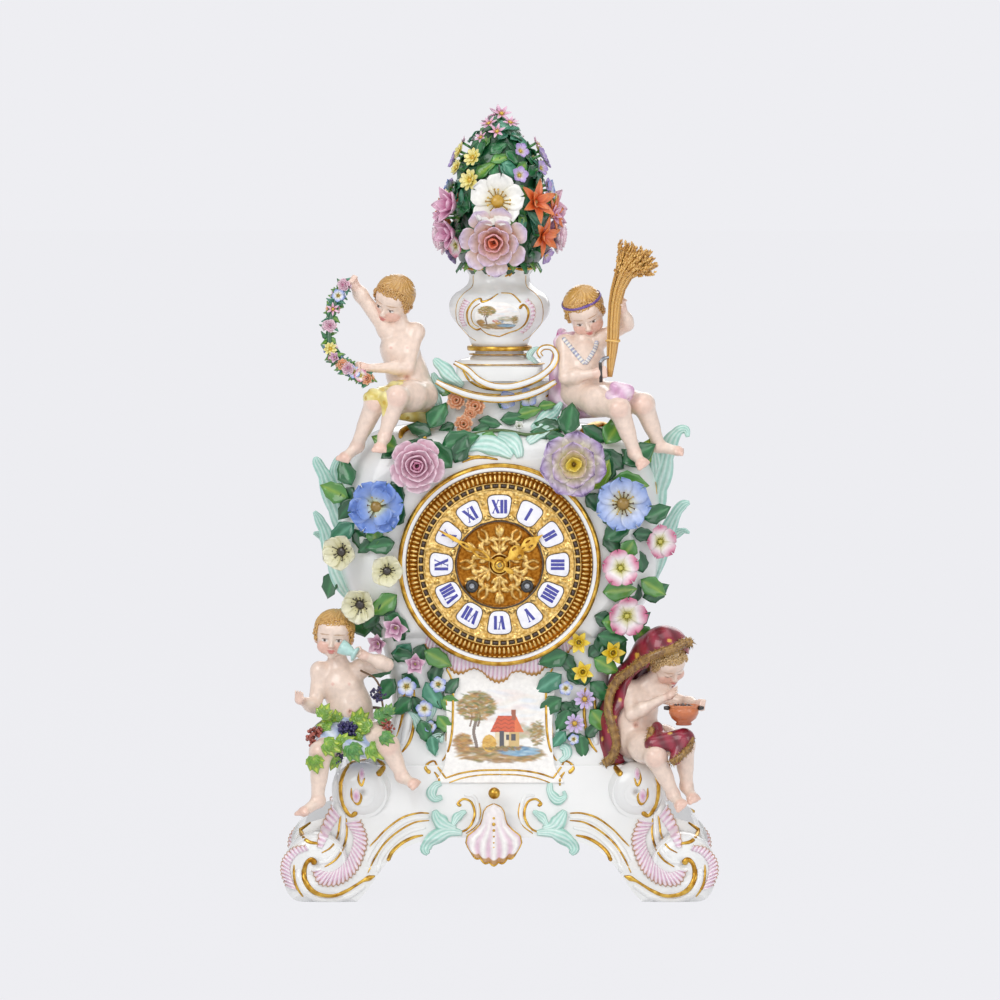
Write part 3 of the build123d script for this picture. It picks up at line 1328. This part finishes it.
with BuildPart() as bell:
    outer = [(r * bell_radius, bell_rim_y + d * bell_depth) for r, d in bell_profile_shares]
    inner_bell = [(max(r * bell_radius - bell_wall, 0), bell_rim_y + d * (bell_depth - bell_wall))
                  for r, d in bell_profile_shares]
    # Drawn with the radius along X and the depth along Y, at the height of the dial
    with BuildSketch(Plane.XY.offset(dial_height)):
        with BuildLine():
            Spline(*outer)
            Line(outer[-1], inner_bell[-1])
            Spline(*reversed(inner_bell))
            Line(inner_bell[0], outer[0])
        make_face()
    revolve(axis=Axis((0, 0, dial_height), (0, 1, 0)))
    disc(facing(0, bell_rim_y + 2 * bell_depth, dial_height), bell_hole, 2 * bell_depth, mode=Mode.SUBTRACT)
finish(bell, "bell")

stand_y = bell_rim_y + bell_depth + seat_gap

with BuildPart() as bell_stand:
    x, z = stand_place
    disc(facing(x, stand_y + stand_thickness, dial_height + z), stand_radius,
         stand_y + stand_thickness - movement_back_y)
    turn = line_turn(stand_place, centre)
    place = Plane(origin=(0, stand_y + stand_thickness, dial_height),
                  x_dir=(cos(radians(turn)), 0, sin(radians(turn))), z_dir=(0, -1, 0))
    with BuildSketch(place):
        with Locations((-hypot(*stand_place) / 2, 0)):
            SlotCenterToCenter(hypot(*stand_place), 2 * stand_radius)
    extrude(amount=stand_thickness)
    disc(facing(0, stand_y + stand_thickness, dial_height), bell_hole - running_clearance,
         stand_thickness + 2 * bell_wall + overrun)
    disc(facing(0, stand_y - bell_wall - 3 * seat_gap, dial_height), 2 * bell_hole, overrun)
finish(bell_stand, "bell_stand")

hammer_radius = 4.0
hammer_gap = 1.6
hammer_drop_turn = 190.0
hammer_setback = 6.0
hammer_y = bell_rim_y + hammer_setback

with BuildPart() as strike_hammer:
    arbor(hammer_place, tail=hammer_y - movement_back_y)
    reach = bell_radius + hammer_gap + hammer_radius
    head = (reach * cos(radians(hammer_drop_turn)), reach * sin(radians(hammer_drop_turn)))
    turn = line_turn(hammer_place, head)
    place = Plane(origin=(hammer_place[0], hammer_y, dial_height + hammer_place[1]),
                  x_dir=(cos(radians(turn)), 0, sin(radians(turn))), z_dir=(0, -1, 0))
    arm = hypot(head[0] - hammer_place[0], head[1] - hammer_place[1])
    with BuildSketch(place) as lever:
        Circle(2 * arbor_radius)
        with Locations((arm / 2, 0)):
            Rectangle(arm, 2 * arbor_radius)
    extrude(lever.sketch, amount=2 * pivot_radius)
    disc(facing(head[0], hammer_y + overrun, dial_height + head[1]), hammer_radius, 2 * hammer_radius)
finish(strike_hammer, "strike_hammer")


# Straps, back ring and hinged back door

strap_reach = 55.4
strap_thickness = 2.0
strap_width = 8.0
back_ring_inner = 53.0
back_ring_outer = 68.0
back_ring_thickness = 3.0
screw_radius = 0.9
screw_head_radius = 1.7
screw_head_height = 1.4

with BuildPart() as case_straps:
    # Each strap ends in a screw whose head holds the back ring
    for side in (-1, 1):
        with BuildSketch(Plane.XZ.offset(-dial_face)) as strap:
            with Locations((side * strap_reach, dial_height)):
                Rectangle(strap_thickness, strap_width)
        extrude(strap.sketch, amount=-(drum_front + drum_back))
        disc(facing(side * strap_reach, drum_back + back_ring_thickness, dial_height), screw_radius,
             back_ring_thickness)
        disc(facing(side * strap_reach, drum_back + back_ring_thickness + screw_head_height / 2, dial_height),
             screw_head_radius, screw_head_height / 2)
finish(case_straps, "case_straps")

hinge_radius = 2.6
hinge_pin_radius = 1.2
hinge_length = 36.0
hinge_gap = 1.0
hinge_x = -(back_ring_outer + hinge_radius + hinge_gap)
door_y = drum_back + back_ring_thickness + end_shake
door_thickness = 2.0
hinge_y = door_y + door_thickness / 2
door_radius = 64.0
knob_radius = 4.0
door_knuckle_share = 0.19
ring_knuckle_shares = ((-0.5, -0.2), (0.2, 0.5))


def hinge_pin(radius, mode=Mode.ADD):
    with BuildSketch(Plane.XY.offset(dial_height - hinge_length / 2)) as pin:
        with Locations((hinge_x, hinge_y)):
            Circle(radius)
    extrude(pin.sketch, amount=hinge_length, mode=mode)


def knuckle(low_share, high_share):
    # A barrel of the hinge between two shares of its length
    with BuildSketch(Plane.XY.offset(dial_height + low_share * hinge_length)) as ring:
        with Locations((hinge_x, hinge_y)):
            Circle(hinge_radius)
    extrude(ring.sketch, amount=(high_share - low_share) * hinge_length)


with BuildPart() as back_ring:
    disc(facing(0, drum_back + back_ring_thickness, dial_height), back_ring_outer, back_ring_thickness,
         bore=back_ring_inner)
    for low_share, high_share in ring_knuckle_shares:
        knuckle(low_share, high_share)
        with BuildSketch(Plane.XY.offset(dial_height + low_share * hinge_length)) as leaf_plate:
            with Locations(((hinge_x - back_ring_outer + overrun) / 2, drum_back + back_ring_thickness / 2)):
                Rectangle(abs(hinge_x + back_ring_outer) + 2 * overrun, back_ring_thickness)
        extrude(leaf_plate.sketch, amount=(high_share - low_share) * hinge_length)
    hinge_pin(hinge_pin_radius)
    for side in (-1, 1):
        disc(facing(side * strap_reach, drum_back + 2 * back_ring_thickness, dial_height),
             screw_radius + running_clearance, 2 * back_ring_thickness, mode=Mode.SUBTRACT)
finish(back_ring, "back_ring")

with BuildPart() as back_door:
    disc(facing(0, door_y + door_thickness, dial_height), door_radius, door_thickness)
    knuckle(-door_knuckle_share, door_knuckle_share)
    with BuildSketch(Plane.XY.offset(dial_height - door_knuckle_share * hinge_length)):
        with Locations(((hinge_x - door_radius) / 2 + overrun, hinge_y)):
            Rectangle(abs(hinge_x + door_radius) + 2 * overrun, door_thickness)
    extrude(amount=2 * door_knuckle_share * hinge_length)
    hinge_pin(hinge_pin_radius + running_clearance, mode=Mode.SUBTRACT)
    disc(facing(door_radius - 3 * knob_radius, door_y + door_thickness + 2 * knob_radius, dial_height), knob_radius,
         2 * knob_radius)
    for side in (-1, 1):
        disc(facing(side * strap_reach, door_y + door_thickness, dial_height), screw_head_radius + 2 * end_shake,
             door_thickness, mode=Mode.SUBTRACT)
finish(back_door, "back_door")
